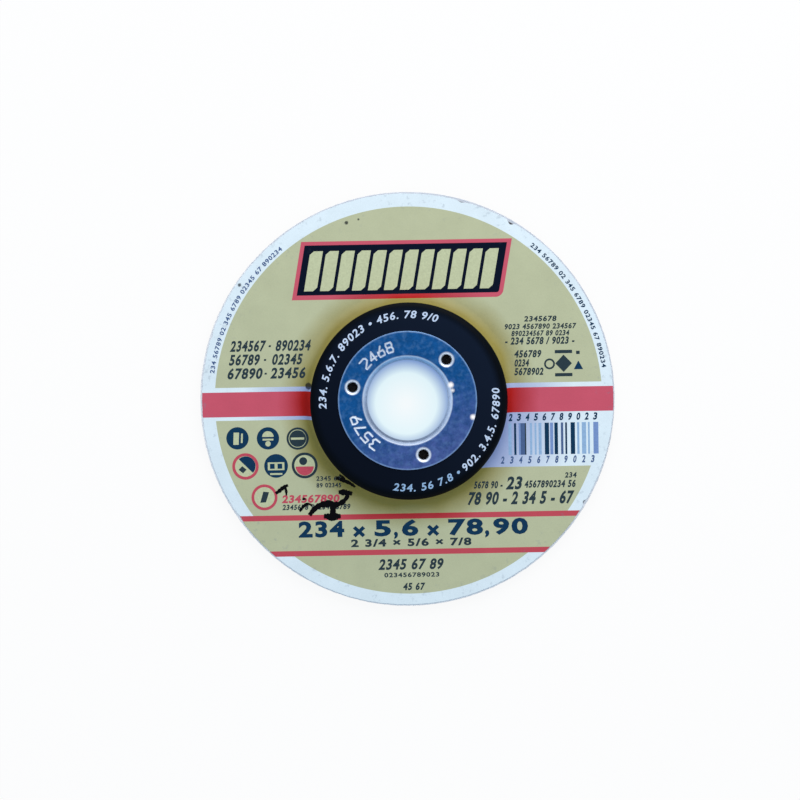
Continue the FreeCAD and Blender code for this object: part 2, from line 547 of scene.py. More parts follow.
labelLook = {
    # Colours of the print on the flat carry a painted bluish reflection; the darker, more saturated copy of
    # each, for the label round the hub's root, is painted shade
    "white": colour(235, 249, 254),
    "whiteDeep": colour(161, 175, 216),
    "gold": colour(196, 200, 163),
    "goldDeep": colour(152, 142, 77),
    "red": colour(211, 92, 111),
    "redLine": colour(204, 82, 94),
    "redDeep": colour(176, 33, 30),
    "black": colour(8, 18, 38),
    # The hub's black, its lit and shaded copies as painted light and shade, and its flank painted darker as
    # painted shade
    "blackLit": colour(17, 28, 46),
    "blackShade": colour(3, 9, 22),
    "blackFlank": colour(1, 6, 13),
    "grime": colour(120, 132, 150),
    "grimeShare": 0.25,
    "grimePatches": (1.3, 4, 0.66, 0.12),
    "grimeFrom": (51.7, 6.0),
    "mottle": (6.0, 3),  # spacing and detail
    "fibres": (0.35, 3),
    "printCentre": (0.3, -0.3),
    "goldRadius": 53.7,
    "hubRadius": 27.2,
    "hubCentre": (0.42, -0.3),
    "deepCentre": (0.2, -1.2),
    "depths": {"gold": (28.4, 35.9), "white": (28.2, 46.0), "red": (29.2, 36.4)},  # painted shade before, the paler colours with painted reflection after
    "wander": (9.0, 3.0),  # spacing and width of the line where the painted shade ends
    "topShade": 0.2,
    "shadeTo": (29.5, 3.0),
    "shadeFrom": (16.0, 16.0),  # up the picture
    "hubLitFrom": (0, 60.0),
    "flankFrom": (25.2, 1.8),
    "band": (-3.95, 2.92),
    "gaps": (-4.95, 4.2),
    "lines": (-42.3, -32.3),
    "lineWidth": 1.5,
    "panelFrom": 12.0,
    "panelFoot": -19.1,
    "specks": [  # x, y, radius
        (-16.0, 49.2, 0.7), (-12.7, 50.1, 0.45), (-45.9, 32.6, 0.65), (22.0, 31.5, 0.4), (-27.2, 4.4, 1.15),
        (48.9, -29.3, 0.85), (15.9, 54.6, 0.5), (29.6, 48.6, 0.6),
    ],
    "speckShare": 0.86,
    "nicks": [  # in the edge: degrees, depth, width
        (58.8, 0.8, 0.9), (73.9, 0.35, 1.2), (-31.1, 0.5, 0.7), (161.0, 0.25, 0.8), (214.0, 0.3, 1.5),
    ],
    "edgeInset": 0.1,
    "edgeWaves": [(0.06, 3, 1.0), (0.04, 7, 2.2)],  # size, waves round the edge, shift
    "edgeRough": (0.14, 0.8, 11),  # size, spacing, seed
    "fitFrom": 50.0,  # rows beyond this radius close up or open out to meet the edge
    "topRows": {"hub": 6, "arc": 12, "flank": 4, "brim": 26},
    "underRows": {"hub": 3, "arc": 5, "flank": 2, "brim": 6},
}
banner = {
    "centre": (-0.95, 36.12), "half": (29.1, 8.03), "lift": 0.12, "lean": 0.18, "corner": 1.8, "frame": 1.15,
    "bars": 12, "barsFrom": -28.1, "barsTo": 24.9, "barFoot": 30.5, "barHeight": 11.0, "barShare": 0.79,
    "barCut": 1.0,
}


# Signed distance to a leaning box, with its lower right corner rounded
def bannerDistance(f, inset, lift=0):
    y = f.y - banner["centre"][1] - lift
    x = f.x - banner["centre"][0] - y * banner["lean"]
    rounding = over(x, 0, 0.01) * (1 - over(y, 0, 0.01)) * max(banner["corner"] - inset, 0.4)
    acrossX = abs(x) - (banner["half"][0] - inset) + rounding
    acrossY = abs(y) - (banner["half"][1] - inset) + rounding
    outX, outY = acrossX.math("MAXIMUM", 0), acrossY.math("MAXIMUM", 0)
    outside = (outX * outX + outY * outY).math("SQRT")
    return outside + acrossX.math("MAXIMUM", acrossY).math("MINIMUM", 0) - rounding


def labelFinish():
    f = Finish("labelFinish")
    c = labelLook
    radius, printRadius = f.away(), f.away(*c["printCentre"])
    spacing, width = c["wander"]
    # Painted shade round the hub's root: each colour turns into its darker, more saturated copy near the
    # hub, and the paler colours farther out carry a painted bluish reflection
    reach = f.away(*c["deepCentre"]) + (f.noise(spacing, 1) - 0.5) * width
    paintedShade = {}
    for name, (start, end) in c["depths"].items():
        paintedShade[name] = 1 - over(reach, (start + end) / 2, end - start)
    gold, white, red = (f.mix(paintedShade[name], c[name], c[name + "Deep"]) for name in ("gold", "white", "red"))
    redLine = f.mix(paintedShade["red"], c["redLine"], c["redDeep"])

    inField = (1 - over(printRadius, c["goldRadius"])).math("MAXIMUM", between(f.y, *c["lines"]))
    panel = between(f.y, c["panelFoot"], c["band"][0]) * over(f.x, c["panelFrom"])
    f.base = f.mix(inField * (1 - between(f.y, *c["gaps"])) * (1 - panel), white, gold)
    f.paint(between(f.y, *c["band"]), red)
    for level in c["lines"]:
        f.paint(between(f.y, level - c["lineWidth"] / 2, level + c["lineWidth"] / 2), redLine)
    f.paint(1 - over(bannerDistance(f, 0), 0), red)
    f.paint(1 - over(bannerDistance(f, banner["frame"], banner["lift"]), 0), c["black"])

    # Painted shade on the label round the hub's upper side; the hub's black painted lighter to the upper
    # right and darker to the lower left, and darkest on its flank, as painted light and shade
    onHub = 1 - over(f.away(*c["hubCentre"]), c["hubRadius"], 0.12)
    shade = (1 - over(radius, *c["shadeTo"])) * over(f.y, *c["shadeFrom"])
    f.base = f.tint(f.base, 1 - shade * c["topShade"])
    hubInk = f.mix(over(f.x * 0.7 + f.y * 0.7, *c["hubLitFrom"]), c["blackShade"], c["blackLit"])
    f.paint(onHub, f.mix(over(radius, *c["flankFrom"]), hubInk, c["blackFlank"]))

    for x, y, size in c["specks"]:
        f.paint((1 - over(f.away(x, y) + f.noise(0.5, 2) * 0.4, size, 0.3)) * c["speckShare"], c["black"])
    grime = f.patches(*c["grimePatches"]) * over(printRadius, *c["grimeFrom"])
    f.paint(grime * c["grimeShare"], c["grime"])
    mottle, fibres = f.noise(*c["mottle"]), f.noise(*c["fibres"])
    f.base = f.tint(f.base, 0.86 + mottle * 0.14 + fibres * 0.14)
    f.set(Base_Color=f.base, Roughness=0.46 + fibres * 0.16 - onHub * 0.1, Specular_IOR_Level=0.035)
    f.bump(fibres + mottle * 2.0, 0.02, 0.5)
    return f.material


# Edge of the label as it was punched: a slow wander, a fine roughness, and a few nicks
def labelEdge(angles):
    size, spacing, seed = labelLook["edgeRough"]
    edge = labelRadius - labelLook["edgeInset"]
    edge = edge - size * latticeNoise(raised(polar(labelRadius, angles), 0), spacing, seed)
    for size, waves, shift in labelLook["edgeWaves"]:
        edge = edge + size * np.sin(waves * angles + shift)
    for degrees, depth, width in labelLook["nicks"]:
        apart = (np.degrees(angles) - degrees + 180) % 360 - 180
        edge = edge - depth * np.exp(-((np.radians(apart) * labelRadius / width) ** 2))
    return np.minimum(edge, labelRadius)


def makeLabel():
    edge, fitFrom = labelEdge(roundAngles), labelLook["fitFrom"]

    def fitted(radii):
        share = np.clip((radii - fitFrom) / (labelRadius - fitFrom), 0, None)[:, None]
        return radii[:, None] + share * (edge - labelRadius)

    top = dishRadii(bandOuter, labelRadius, labelMarks, labelLook["topRows"])
    under = dishRadii(bandOuter, labelRadius, backMarks, labelLook["underRows"])[::-1]
    inner, hole = boreFlat + sheet["clearance"], anchorFlat + sheet["clearance"]
    band, rings = (inner, bandOuter, 6), 3
    parts = [
        turned(fitted(top), dishHeight(top, labelMarks)),
        turned(fitted(np.full(2, labelRadius)), [labelMarks["low"], backMarks["low"]]),
        turned(fitted(under), dishHeight(under, backMarks)),
        turned([inner, inner], [hubTop, labelTop]),
        *holedBand(band, hole, labelTop, rings),
        *holedBand(band, hole, hubTop, rings, below=True),
        *atAnchors([hole, hole], [hubTop, labelTop], band),
    ]
    makePiece("printedLabel", *weld(parts)[:2], labelFinish(), "label_print", "label")


# Places for rows: straight, round the axis with the tops outward, and with the tops inward
def straight(x, y):
    return lambda p: p + (x, y)


def topsOut(radius, degrees, centre=(0, 0)):
    return lambda p: centre + polar(radius + p[:, 1], math.radians(degrees) - p[:, 0] / radius)


def topsIn(radius, degrees, centre=(0, 0)):
    return lambda p: centre + polar(radius - p[:, 1], math.radians(degrees) + p[:, 0] / radius)


# Line through corners, each rounded by a parabola: p = (1 - t)^2 a + 2 t (1 - t) corner + t^2 b
def roundedLine(corners, reach):
    p = np.asarray(corners, float)
    before, after = p[:-2] - p[1:-1], p[2:] - p[1:-1]
    lengths = np.linalg.norm(before, axis=1), np.linalg.norm(after, axis=1)
    cut = np.minimum(reach, 0.48 * np.minimum(*lengths))[:, None]
    a = p[1:-1] + before / lengths[0][:, None] * cut
    b = p[1:-1] + after / lengths[1][:, None] * cut
    t = np.linspace(0, 1, 6)[None, :, None]
    curve = (1 - t) ** 2 * a[:, None] + 2 * t * (1 - t) * p[1:-1, None] + t ** 2 * b[:, None]
    return np.concatenate([p[:1], curve.reshape(-1, 2), p[-1:]])


press = {  # in millimetres
    "proud": 0.014,  # how far ink stands out of the label, and how far each layer lies over the one below
    "layer": 0.008,
    "sink": 0.03,
    "facet": 0.9,
    "discSteps": 40,
    "ringSteps": 56,
}
figure = {"height": 0.682, "steps": 3}  # height of Blender's own figures in a text of size 1


# Row of plain figures as flat faces, from 0 to a length, leaning by its height
def rowFaces(text, length, look):
    curve = bpy.data.curves.new("row", "FONT")
    height, curve.offset, curve.space_character, lean = look
    curve.body, curve.resolution_u = text, figure["steps"]
    holder = bpy.data.objects.new("row", curve)
    mesh = bpy.data.meshes.new_from_object(holder)
    flat = np.empty(3 * len(mesh.vertices))
    mesh.vertices.foreach_get("co", flat)
    flat = flat.reshape(-1, 3)[:, :2]
    faces = np.array([face.vertices[:] for face in mesh.polygons])
    bpy.data.objects.remove(holder)
    bpy.data.curves.remove(curve)
    bpy.data.meshes.remove(mesh)
    across = flat[:, 0] - flat[:, 0].min()
    rise = flat[:, 1] / figure["height"] * height
    return np.column_stack([across / across.max() * length + rise * lean, rise]), faces


# Flat shapes of one ink, as thin slabs that lie on the label
class Ink:
    def __init__(self, name, finish):
        self.name, self.finish = name, finish
        self.points, self.faces, self.count = [], {3: [], 4: []}, 0

    # Slab over flat faces: a top, the same faces turned over below, and a wall on each edge of one face only
    def slab(self, flat, faces, lift=0):
        count = len(flat)
        edges = np.stack([faces, np.roll(faces, -1, 1)], -1).reshape(-1, 2)
        keys = edges.min(1) * count + edges.max(1)
        first, times = np.unique(keys, return_index=True, return_counts=True)[1:]
        rim = edges[first[times == 1]]
        walls = np.stack([rim[:, 0], rim[:, 0] + count, rim[:, 1] + count, rim[:, 1]], -1)
        lie = dishHeight(np.hypot(*flat.T), labelMarks)
        heights = np.concatenate([lie + press["proud"] + lift, lie - press["sink"]])
        self.points.append(raised([flat, flat], heights))
        for part in (faces, faces[:, ::-1] + count, walls):
            self.faces[part.shape[1]].append(part + self.count)
        self.count += 2 * count

    # Stroke along a line, with a width for each point. Its faces look up.
    def ribbon(self, line, width, lift):
        ahead = np.gradient(line, axis=0)
        ahead /= np.linalg.norm(ahead, axis=1, keepdims=True)
        side = np.stack([-ahead[:, 1], ahead[:, 0]], -1) * width[:, None] / 2
        flat = np.stack([line + side, line - side], 1).reshape(-1, 2)
        self.slab(flat, gridFaces(len(line), 2)[:, ::-1], lift)

    # Convex shape, corners counter-clockwise from a place, as rings about its middle close enough to
    # follow the dish: p = middle + t (edge - middle)
    def polygon(self, x, y, corners, lift=0):
        corners = np.asarray(corners, float) + (x, y)
        ahead = np.roll(corners, -1, 0) - corners
        counts = np.ceil(np.linalg.norm(ahead, axis=1) / press["facet"]).astype(int)
        along = np.concatenate([np.arange(count) / count for count in counts])[:, None]
        edge = np.repeat(corners, counts, 0) + along * np.repeat(ahead, counts, 0)
        middle = corners.mean(0)
        rings = int(np.ceil(np.linalg.norm(edge - middle, axis=1).max() / press["facet"]))
        share = np.arange(1, rings + 1)[:, None, None] / rings
        flat = np.concatenate([(middle + share * (edge - middle)).reshape(-1, 2), middle[None]])
        i = np.arange(len(edge))
        fan = np.stack([i, np.roll(i, -1), np.full(len(i), len(flat) - 1)], -1)
        quads = gridFaces(rings, len(edge), closed=True)
        self.slab(flat, np.concatenate([fan, quads[:, :3], quads[:, [0, 2, 3]]]), lift)

    def disc(self, x, y, radius, start=0, end=360, lift=0):
        angle = np.radians(np.linspace(start, end, press["discSteps"], endpoint=end - start < 360))
        self.polygon(x, y, polar(radius, angle), lift)

    def ring(self, x, y, radius, width, lift=0):
        angle = np.linspace(0, 2 * math.pi, press["ringSteps"], endpoint=False)
        flat = np.concatenate([(x, y) + polar(distance, angle) for distance in (radius - width, radius)])
        self.slab(flat, gridFaces(2, len(angle), closed=True), lift)

    def bar(self, x, y, width, height, lean=0, lift=0):
        shift = lean * height
        self.polygon(x, y, [(0, 0), (width, 0), (width + shift, height), (shift, height)], lift)

    def row(self, text, place, length, look):
        flat, faces = rowFaces(text, length, looks[look])
        self.slab(place(flat), faces)

    def finishUp(self):
        faces = [np.concatenate(parts) for parts in self.faces.values() if parts]
        makePiece(self.name, np.concatenate(self.points), faces, self.finish, "label_print", smooth=False)


def inkFinish(name, ink):
    f = Finish(name)
    wear = f.noise(0.5, 3)
    f.set(Base_Color=f.tint(ink, 0.8 + wear * 0.4), Roughness=0.45 + wear * 0.15, Specular_IOR_Level=0.035)
    f.bump(f.noise(0.3, 2), 0.01, 0.4)
    return f.material


inks = {
    "navy": colour(19, 57, 87),
    "slate": colour(46, 62, 70),
    "blue": colour(80, 104, 146),
    "haze": colour(126, 154, 204),
    "pale": colour(154, 188, 222),
    "black": colour(5, 6, 10),
    "red": colour(202, 82, 98),
    "gold": colour(202, 208, 168),
    "white": colour(206, 223, 246),
}

# Looks of the rows of figures: height, added weight, spacing, lean. With more weight than 0.04 the outline
# of a figure crosses itself.
looks = {
    "side": (2.7, 0.036, 1.14, 0.2),
    "size": (4.0, 0.04, 1.16, 0.0),
    "sizeSmall": (1.9, 0.04, 1.15, 0.0),
    "note": (1.35, 0.036, 1.15, 0.15),
    "noteBold": (1.8, 0.04, 1.15, 0.15),
    "grade": (3.2, 0.04, 1.12, 0.2),
    "alert": (1.95, 0.04, 1.1, 0.15),
    "hub": (1.95, 0.022, 1.16, 0.15),
    "micro": (1.15, 0.03, 1.15, 0.0),
}

# Straight rows of each ink: figures, left end, foot, length, look
straightRows = {
    "slate": [
        ("234567", -48.9, 14.3, 9.6, "side"), ("890234", -36.4, 14.3, 9.6, "side"),
        ("56789", -49.3, 10.5, 8.3, "side"), ("02345", -37.5, 10.5, 8.3, "side"),
        ("67890", -49.9, 6.7, 9.6, "side"), ("23456", -37.9, 6.7, 9.6, "side"),
        ("2345678", 32.6, 21.2, 8.9, "note"),
        ("9023 4567890 234567", 27.1, 19.1, 19.8, "note"),
        ("890234567 89 0234", 29.0, 17.2, 16.0, "note"),
        ("- 234 5678 / 9023 -", 27.2, 14.9, 19.2, "noteBold"),
        ("456789", 29.7, 11.3, 7.4, "noteBold"),
        ("0234", 29.7, 8.8, 4.0, "noteBold"),
        ("5678902", 29.7, 6.4, 8.0, "noteBold"),
        ("234", 43.3, -22.3, 3.2, "note"),
        ("5678 90 -", 18.0, -24.9, 7.9, "noteBold"),
        ("23", 26.9, -25.2, 4.2, "grade"),
        ("4567890234 56", 32.0, -24.9, 14.2, "noteBold"),
        ("78 90 - 2 34 5 - 67", 16.1, -29.35, 29.2, "grade"),
        ("2 3/4 × 5/6 × 7/8", -16.4, -40.6, 33.5, "sizeSmall"),
        ("2345 67 89", -8.9, -47.1, 17.8, "side"),
        ("023456789023", -7.3, -49.3, 15.3, "micro"),
        ("45 67", -2.2, -52.9, 6.0, "noteBold"),
        ("2345 67", -25.7, -22.0, 6.9, "micro"),
        ("89 02345", -25.7, -23.9, 6.9, "micro"),
        ("2345678 902345 6789", -35.3, -30.0, 18.8, "note"),
    ],
    "navy": [
        ("234", -30.9, -37.6, 12.7, "size"), ("×", -15.8, -38.5, 3.4, "size"),
        ("5", -9.8, -37.6, 4.6, "size"), (",", -4.4, -37.6, 1.1, "size"), ("6", -2.2, -37.6, 4.6, "size"),
        ("×", 4.8, -38.5, 3.4, "size"),
        ("78", 10.7, -37.6, 9.7, "size"), (",", 20.9, -37.6, 1.2, "size"), ("90", 23.2, -37.6, 9.7, "size"),
    ],
    "red": [("234567890", -35.4, -28.0, 15.9, "alert")],
}

# Rows round the axis: ink, figures, way, radius of the foot, start and run in degrees, middle, look
marginText = "234 56789 02 345 6789 02345 67 890234"
roundRows = [
    ("white", "234. 5.6.7. 89023 • 456. 78 9/0", topsOut, 22.95, 184, 113.5, (0.6, -0.3), "hub"),
    ("pale", "234. 56 7.8 •", topsIn, 25.0, -101, 45.6, (0.3, 0.0), "hub"),
    ("white", "902. 3.4.5. 67890", topsIn, 25.0, -52.6, 59.6, (0.3, 0.0), "hub"),
    ("blue", marginText, topsOut, 54.4, 171, 42.2316, labelLook["printCentre"], "micro"),
    ("navy", marginText, topsOut, 54.4, 51, 42.2316, labelLook["printCentre"], "micro"),
]

# Upright stripes in five inks between two rows of spaced figures
stripes = {
    "figures": "23456789023",
    "rows": [  # ink, left end, pitch, foot, width of a figure
        ("navy", 27.85, 2.35, -6.25, 1.05), ("blue", 25.6, 2.5, -18.1, 0.9),
    ],
    "foot": -15.8,
    "height": 8.8,
    "bars": {  # left side, width
        "navy": [(29.4, 0.6), (37.9, 1.2), (40.6, 0.95), (43.6, 0.5), (45.1, 1.2)],
        "slate": [(32.4, 0.35)],
        "blue": [(31.2, 1.2), (42.4, 0.65)],
        "haze": [(30.7, 0.5), (39.4, 0.85), (51.4, 1.4)],
        "pale": [(27.8, 0.9), (33.8, 0.6), (35.1, 0.5), (36.2, 0.8), (46.9, 0.6), (48.2, 1.2), (49.9, 0.5)],
    },
}

# Signs and dashes: a middle, and round it each shape's ink, kind, layer, place from the middle and sizes
signs = [
    (-38.2, 15.3, [("slate", "bar", 0, 0, 0, 0.6, 0.5, 0.2)]),
    (-39.6, 11.5, [("slate", "bar", 0, 0, 0, 0.6, 0.5, 0.2)]),
    (-39.5, 7.7, [("slate", "bar", 0, 0, 0, 0.6, 0.5, 0.2)]),
    (39.5, 9.3, [("slate", "ring", 0, 0, 0, 1.5, 0.5)]),
    (43.4, 9.4, [
        ("slate", "bar", 0, -2.4, 2.8, 4.8, 0.9),
        ("slate", "bar", 0, -2.4, -3.6, 4.8, 0.9),
        ("slate", "polygon", 0, 0, 0, [(0, -2.4), (2.3, 0), (0, 2.4), (-2.3, 0)]),
    ]),
    (47.5, 8.9, [
        ("navy", "polygon", 0, 0, 0, [(-1.3, -1.2), (1.3, -1.2), (0, 1.2)]),
        ("slate", "bar", 0, -0.6, 3.0, 1.0, 0.9),
    ]),
    (-47.35, -9.85, [
        ("navy", "disc", 0, 0, 0, 3.1),
        ("gold", "bar", 1, -1.2, -1.8, 1.5, 3.4, 0.05),
        ("gold", "bar", 1, 0.9, -1.3, 0.5, 2.6, 0.05),
    ]),
    (-38.9, -10.0, [
        ("navy", "disc", 0, 0, 0, 3.1),
        ("gold", "disc", 1, 0, 0.4, 1.6, 0, 180),
        ("gold", "bar", 1, -1.5, -0.6, 3.0, 0.5),
        ("gold", "disc", 1, 0, -1.5, 0.75),
    ]),
    (-30.65, -10.2, [
        ("slate", "disc", 0, 0, 0, 3.1),
        ("gold", "ring", 1, 0, 0, 2.5, 0.17),
        ("gold", "bar", 2, -1.9, -0.3, 3.8, 0.6),
    ]),
    (-45.3, -17.7, [
        ("gold", "disc", 0, 0, 0, 3.5),
        ("navy", "disc", 1, 0.1, 0.1, 2.7, -45, 135),
        ("slate", "polygon", 1, 0, 0, [(-1.9, -0.9), (-0.7, -1.9), (0.3, -0.9), (-0.9, 0.1)]),
        ("red", "ring", 2, 0, 0, 3.66, 0.78),
    ]),
    (-36.8, -17.7, [
        ("navy", "disc", 0, 0, 0, 3.3),
        ("gold", "bar", 1, -2.3, -1.2, 4.6, 2.2),
        ("navy", "bar", 2, -1.7, -0.8, 1.3, 1.4),
        ("navy", "bar", 2, 0.4, -0.8, 1.3, 1.4),
        ("gold", "bar", 1, -1.7, -2.5, 3.4, 0.5),
    ]),
    (-28.85, -17.7, [
        ("gold", "disc", 0, 0, 0, 3.3),
        ("red", "disc", 1, 0, -0.3, 2.5, 180, 360),
        ("slate", "disc", 1, -0.4, 1.2, 1.1),
        ("slate", "ring", 2, 0, 0, 3.6, 0.72),
    ]),
    (-40.2, -26.4, [
        ("gold", "disc", 0, 0, 0, 3.2),
        ("slate", "polygon", 1, 0, 0, [(-1.2, -1.5), (0.4, -1.4), (1.3, 1.4), (-0.3, 1.6)]),
        ("red", "ring", 2, 0, 0, 3.6, 0.75),
    ]),
]

# Black smears as the photo shows them: strokes that swell and thin out along a curve, with their widths
smears = [
    ([(-37.1, -25.4), (-35.9, -24.6), (-34.9, -23.7), (-33.6, -23.1)], 1.0),
    ([(-34.5, -23.5), (-34.1, -24.7), (-34.1, -26.0)], 0.7),
    ([(-27.8, -31.6), (-26.5, -29.9), (-24.9, -28.8), (-22.8, -28.5), (-20.2, -28.9), (-18.2, -28.0),
      (-16.9, -26.2)], 1.6),
    ([(-19.6, -25.3), (-17.7, -25.4), (-15.8, -25.8)], 1.5),
    ([(-30.5, -30.5), (-29.4, -29.0), (-28.1, -28.3), (-27.0, -28.9)], 0.75),
    ([(-21.2, -28.7), (-21.2, -30.2), (-21.4, -31.7)], 1.7),
    ([(-23.8, -31.9), (-21.5, -32.1), (-19.1, -32.0)], 1.7),
    ([(-29.7, -27.1), (-29.2, -27.0), (-28.7, -27.1)], 0.6),
    ([(-20.2, -21.3), (-18.4, -21.8), (-16.2, -22.7), (-14.9, -23.8)], 1.2),
    ([(-19.2, -20.3), (-18.4, -20.8), (-17.6, -21.3)], 0.6),
    ([(-24.4, -28.3), (-22.6, -27.7), (-21.6, -27.9)], 0.6),
    ([(-22.6, -32.7), (-21.4, -32.9), (-20.0, -32.7)], 0.8),
]
smearForm = {"seed": 21, "spacing": 0.3, "bend": 3.0, "layer": 3, "layerStep": 0.3}


# Equal slanted bars with two corners cut, side by side in the panel
def printPanel(gold):
    pitch = (banner["barsTo"] - banner["barsFrom"]) / banner["bars"]
    width, height, cut = pitch * banner["barShare"], banner["barHeight"], banner["barCut"]
    outline = [(0, 0), (width - cut, 0), (width, cut), (width, height), (cut, height), (0, height - cut)]
    outline = np.array([(x + banner["lean"] * y, y) for x, y in outline])
    for index in range(banner["bars"]):
        gold.polygon(banner["barsFrom"] + index * pitch, banner["barFoot"], outline)


def printBars(sheets):
    for ink, left, pitch, foot, width in stripes["rows"]:
        for index, digit in enumerate(stripes["figures"]):
            sheets[ink].row(digit, straight(left + pitch * index, foot), width, "noteBold")
    for ink, bars in stripes["bars"].items():
        for left, width in bars:
            sheets[ink].bar(left, stripes["foot"], width, stripes["height"])


def printSmears(black):
    rng = np.random.default_rng(smearForm["seed"])
    for index, (corners, width) in enumerate(smears):
        line = roundedLine(corners, smearForm["bend"])
        passed = np.append(0, np.cumsum(np.linalg.norm(np.diff(line, axis=0), axis=1)))
        t = np.linspace(0, 1, int(passed[-1] / smearForm["spacing"]) + 2)
        line = np.stack([np.interp(t * passed[-1], passed, line[:, axis]) for axis in (0, 1)], -1)
        swell = width * (0.45 + 0.65 * np.sin(np.pi * (0.12 + 0.8 * t))) * (0.78 + 0.4 * rng.random(len(t)))
        lift = (smearForm["layer"] + smearForm["layerStep"] * index) * press["layer"]
        black.ribbon(line, swell, lift)


def printAll():
    sheets = {name: Ink(name + "Print", inkFinish(name + "Ink", ink)) for name, ink in inks.items()}
    printPanel(sheets["gold"])
    for ink, rows in straightRows.items():
        for text, left, foot, length, look in rows:
            sheets[ink].row(text, straight(left, foot), length, look)
    for ink, text, way, radius, start, run, middle, look in roundRows:
        sheets[ink].row(text, way(radius, start, middle), math.radians(run) * radius, look)
    printBars(sheets)
    for x, y, shapes in signs:
        for ink, kind, layer, dx, dy, *sizes in shapes:
            getattr(sheets[ink], kind)(x + dx, y + dy, *sizes, lift=layer * press["layer"])
    printSmears(sheets["black"])
    for ink in sheets.values():
        ink.finishUp()


# Bore ring

steel = {
    # Blue and violet stand for the bright steel's reflection of a blue sky, as painted reflection; violet is
    # for the lower right
    "blue": colour(20, 76, 136),
    "violet": colour(66, 86, 146),
    "pale": colour(104, 148, 196),
    # pale colour of the painted highlight on the bends, the bore's wall and the stamps
    "bright": colour(208, 222, 238),
    # the flange's outer edge, a painted highlight
    "edge": colour(126, 160, 204),
    # the lip's painted shade and painted light, and its thin dark line of painted shade
    "lipShade": colour(116, 160, 208),
    "lip": colour(176, 200, 234),
    "lipLine": colour(96, 108, 150),
    # painted shade inside the anchors
    "dark": colour(10, 12, 20),
    "cloud": (2.2, 4),  # spacing and detail
    "speckle": (0.42, 3),
    "patch": (1.4, 3),
    "violetFrom": (10.0, 22.0),
    "violetSway": 22.0,
    "paleFrom": (0.6, 0.25),
    "paleShare": 0.2,
    "edgeBand": 0.35,
    "lipBand": 0.55,  # how far inside the start of the bend the lip's colour ends
    "lipLitFrom": (-6.0, 8.0),  # down the picture
    "lipDimFrom": (6.4, 14.0),
    "lipDim": 0.7,
    "lipLineAt": 0.25,  # outside the bore
    "lipLineShare": 0.4,
    "darkTo": 0.6,  # under the flange
    # painted glints
    "glints": [(11.9, 4.1, 0.8), (12.4, 2.6, 0.45), (17.9, -4.8, 0.75)],  # x, y, radius
}
# Stamped figures as strokes in a box one wide and one high: (closed, corners)
stampFigures = {
    "2": [(False, [(0, 1), (0.75, 1), (1, 0.86), (1, 0.6), (0, 0.14), (0, 0), (1, 0)])],
    "3": [(False, [(0, 1), (0.8, 1), (1, 0.8), (0.7, 0.53), (1, 0.26), (0.8, 0), (0, 0)])],
    "4": [(False, [(0.72, 0), (0.72, 1), (0, 0.3), (1.05, 0.3)])],
    "5": [(False, [(1, 1), (0.1, 1), (0.05, 0.58), (0.8, 0.58), (1, 0.4), (0.95, 0.08), (0.7, 0), (0, 0)])],
    "6": [(True, [(0.1, 0), (0.9, 0), (1, 0.28), (0.9, 0.55), (0.1, 0.55), (0, 0.28)]),
          (False, [(0, 0.28), (0.75, 1)])],
    "7": [(False, [(0, 1), (1, 1), (0.35, 0)])],
    "8": [(True, [(0.1, 0), (0.9, 0), (1, 0.26), (0.85, 0.52), (0.15, 0.52), (0, 0.26)]),
          (True, [(0.15, 0.52), (0.85, 0.52), (0.95, 0.76), (0.85, 1), (0.15, 1), (0.05, 0.76)])],
    "9": [(True, [(0.1, 0.45), (0.9, 0.45), (1, 0.72), (0.9, 1), (0.1, 1), (0, 0.72)]),
          (False, [(1, 0.72), (0.25, 0)])],
}
stamps = {
    "rows": [  # figures, radius of the foot, start and run in degrees, shine as painted highlight
        ("2468", 14.0, 141.0, 39.5, 0.7),
        ("3579", 13.7, 235.5, 43, 0.95),
    ],
    "height": 2.7, "share": 0.7, "stroke": 0.44, "wall": 0.18, "depth": 0.08,
}


# How deep each place of the flange lies in a stamped stroke, and its shine, a painted highlight
def stampRelief(places):
    sunk, shine = np.zeros((2, len(places)))
    for text, foot, start, run, gleam in stamps["rows"]:
        nearest = np.full(len(places), np.inf)
        put = topsOut(foot, start)
        pitch = math.radians(run) * foot / len(text)
        for index, name in enumerate(text):
            for closed, corners in stampFigures[name]:
                inside = np.array(corners) * (pitch * stamps["share"], stamps["height"])
                points = put(inside + (index * pitch, 0))
                ends = np.roll(points, -1, 0) if closed else points[1:]
                for a, b in zip(points, ends):
                    along = b - a
                    t = np.clip(((places - a) @ along) / (along @ along), 0, 1)
                    nearest = np.minimum(nearest, np.linalg.norm(places - a - t[:, None] * along, axis=1))
        t = eased(np.clip((stamps["stroke"] / 2 + stamps["wall"] / 2 - nearest) / stamps["wall"], 0, 1))
        sunk, shine = np.maximum(sunk, t), np.maximum(shine, gleam * t)
    return stamps["depth"] * sunk, shine


